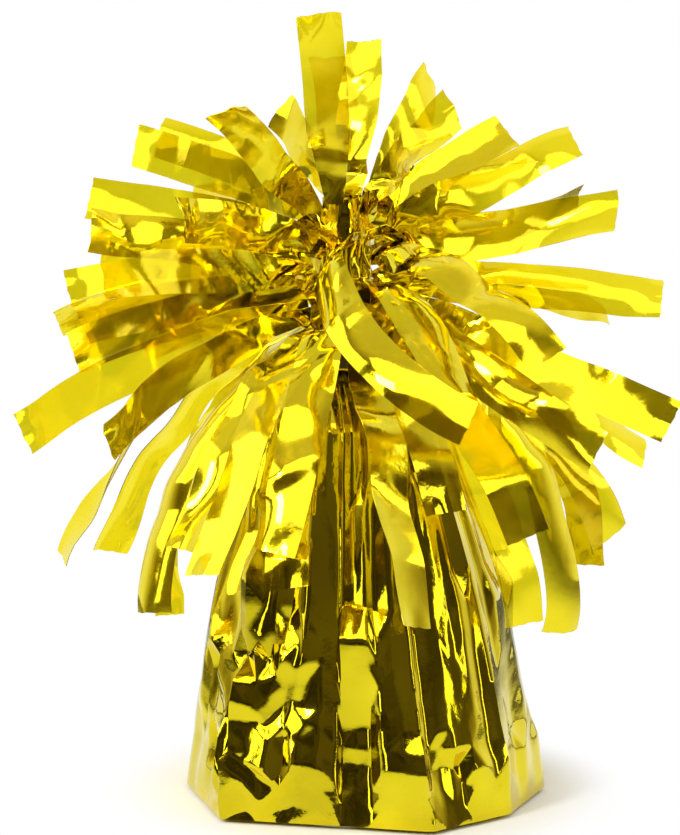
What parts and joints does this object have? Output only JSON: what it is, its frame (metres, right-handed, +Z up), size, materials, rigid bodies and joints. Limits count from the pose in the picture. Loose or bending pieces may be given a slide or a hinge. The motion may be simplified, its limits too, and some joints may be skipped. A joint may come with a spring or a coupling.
{
  "type": "balloon weight",
  "caption": "Balloon weight: a filled cone wrapped in gold metallised film, tied at the neck under a burst of film strips; balloon ribbons are tied round the neck.",
  "frame": {"origin": "middle of the base, on the table", "axes": "+Z up through the neck, -Y towards the front, +X to the right"},
  "size_m": [0.1168, 0.1066, 0.1456],
  "materials": {
    "film": "metallised gold polyester film, mirror bright and slightly see-through",
    "cup": "moulded, natural",
    "fill": "cast cement and sand",
    "disc": "plain grey board",
    "tie": "dark coated wire tie"
  },
  "bodies": {
    "root": {"ballast_cup": "cup", "ballast_fill": "fill", "base_disc": "disc", "foil_wrap": "film", "neck_tie": "tie", "fringe_core": "film", "fringe_strip_01": "film", "fringe_strip_02": "film", "fringe_strip_03": "film", "fringe_strip_04": "film", "fringe_strip_05": "film", "fringe_strip_06": "film", "fringe_strip_07": "film", "fringe_strip_08": "film", "fringe_strip_09": "film", "fringe_strip_10": "film", "fringe_strip_11": "film", "fringe_strip_12": "film", "fringe_strip_13": "film", "fringe_strip_14": "film", "fringe_strip_15": "film", "fringe_strip_16": "film", "fringe_strip_17": "film", "fringe_strip_18": "film", "fringe_strip_19": "film", "fringe_strip_20": "film", "fringe_strip_21": "film", "fringe_strip_22": "film", "fringe_strip_23": "film", "fringe_strip_24": "film", "fringe_strip_25": "film", "fringe_strip_26": "film", "fringe_strip_27": "film", "fringe_strip_28": "film", "fringe_strip_29": "film", "fringe_strip_30": "film", "fringe_strip_31": "film", "fringe_strip_32": "film", "fringe_strip_33": "film", "fringe_strip_34": "film", "fringe_strip_35": "film", "fringe_strip_36": "film", "fringe_strip_37": "film", "fringe_strip_38": "film", "fringe_strip_39": "film", "fringe_strip_40": "film", "fringe_strip_41": "film", "fringe_strip_42": "film", "fringe_strip_43": "film", "fringe_strip_44": "film", "fringe_strip_45": "film", "fringe_strip_46": "film", "fringe_strip_47": "film", "fringe_strip_48": "film", "fringe_strip_49": "film", "fringe_strip_50": "film", "fringe_strip_51": "film", "fringe_strip_52": "film", "fringe_strip_53": "film", "fringe_strip_54": "film"}
  },
  "joints": []
}
